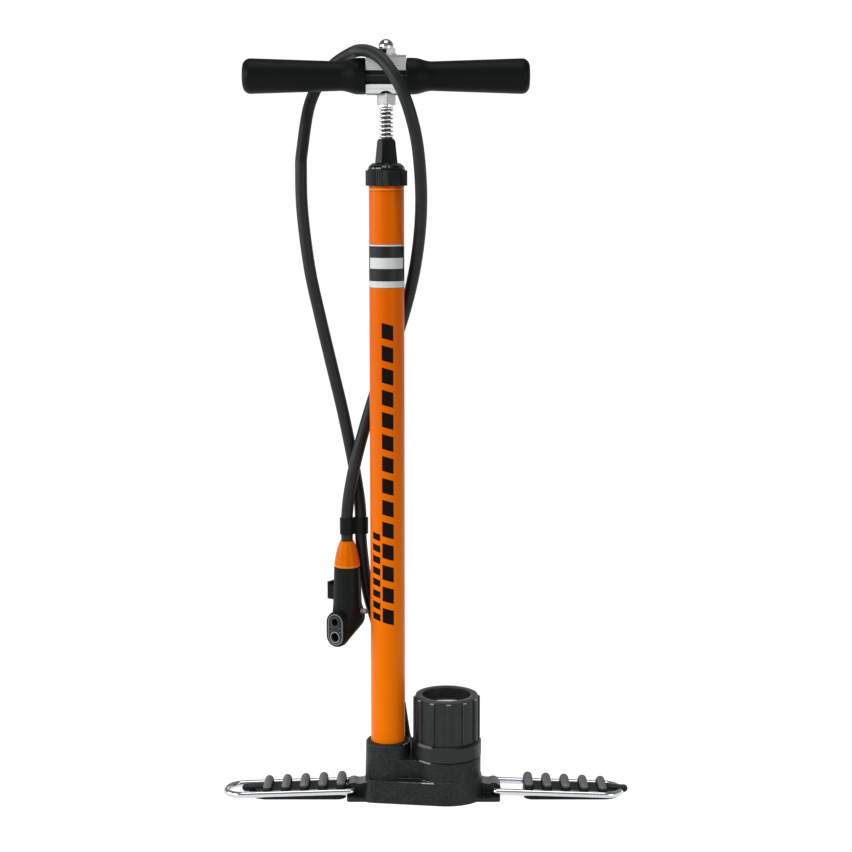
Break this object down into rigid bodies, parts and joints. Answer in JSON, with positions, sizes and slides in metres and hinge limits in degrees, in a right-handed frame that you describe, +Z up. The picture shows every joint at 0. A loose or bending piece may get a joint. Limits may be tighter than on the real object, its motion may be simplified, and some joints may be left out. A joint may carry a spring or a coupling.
{
  "type": "bicycle floor pump",
  "caption": "Bicycle floor pump with a tall barrel, T handle, cast base with a fluted gauge, folding wire feet, and a hose with a double-ended valve head hung over the handle.",
  "frame": {"origin": "barrel's axis at floor level, on the underside of the base", "axes": "+Z up the barrel, +X from the barrel to the gauge, -Y to the front"},
  "size_m": [0.375, 0.1058, 0.686],
  "materials": {
    "cast_black": "grainy black paint",
    "orange_paint": "glossy orange paint",
    "orange_plastic": "orange moulding",
    "black_plastic": "satin black moulding",
    "black_rubber": "black rubber",
    "bright_steel": "bright plated",
    "brass": "turned brass",
    "leather": "greased leather",
    "dial_white": "printed white",
    "needle_red": "red",
    "clear": "clear lens",
    "dark_steel": "blackened steel",
    "grey_plastic": "grey moulding"
  },
  "bodies": {
    "base": {"base_casting": "cast_black", "barrel_gasket": "black_rubber", "barrel": "orange_paint", "valve_seat": "brass", "valve_flap": "black_rubber", "rod_bush": "black_plastic", "top_cap": "black_plastic", "neck_ring": "black_plastic", "buffer_spring": "bright_steel", "gauge_stem": "brass", "gauge_body": "black_plastic", "gauge_ring": "black_plastic", "gauge_boot": "black_rubber", "gauge_dial": "dial_white", "gauge_lens": "clear", "hose_barb": "brass", "hose_sleeve": "black_rubber", "hose": "black_rubber", "hose_clip": "black_plastic", "head_collar": "orange_plastic", "head_body": "black_plastic", "head_face": "grey_plastic", "wide_grommet": "black_rubber", "narrow_grommet": "black_rubber", "wide_rim": "bright_steel", "narrow_rim": "bright_steel", "head_screws": "dark_steel", "head_pin": "bright_steel"},
    "piston": {"piston_cup": "leather"},
    "handle": {"piston_backing": "bright_steel", "piston_washer": "bright_steel", "piston_nut": "bright_steel", "piston_rod": "bright_steel", "spring_washer": "bright_steel", "lock_nut": "bright_steel", "lower_saddle": "bright_steel", "handle_core": "black_plastic", "upper_saddle": "bright_steel", "left_grip": "black_plastic", "right_grip": "black_plastic", "top_washer": "bright_steel", "dome_nut": "bright_steel"},
    "needle": {"gauge_needle": "needle_red"},
    "left_foot": {"left_foot_wire": "bright_steel", "left_tread": "black_rubber"},
    "right_foot": {"right_foot_wire": "bright_steel", "right_tread": "black_rubber"}
  },
  "joints": [
    {"name": "pump_stroke", "type": "slide", "parent": "base", "child": "piston", "axis": [0, 0, 1], "range_m": [0, 0.49], "deforming": ["hose"]},
    {"name": "handle_turn", "type": "hinge", "parent": "piston", "child": "handle", "pos_m": [0, 0, 0.654], "axis": [0, 0, 1], "range_deg": [0, 20]},
    {"name": "needle_turn", "type": "hinge", "parent": "base", "child": "needle", "pos_m": [0.054, 0, 0.08], "axis": [0, 0, -1], "range_deg": [0, 270]},
    {"name": "left_foot_fold", "type": "hinge", "parent": "base", "child": "left_foot", "pos_m": [-0.032, 0, 0.0069], "axis": [0, 1, 0], "range_deg": [0, 90]},
    {"name": "right_foot_fold", "type": "hinge", "parent": "base", "child": "right_foot", "pos_m": [0.0975, 0, 0.0069], "axis": [0, -1, 0], "range_deg": [0, 90]}
  ]
}
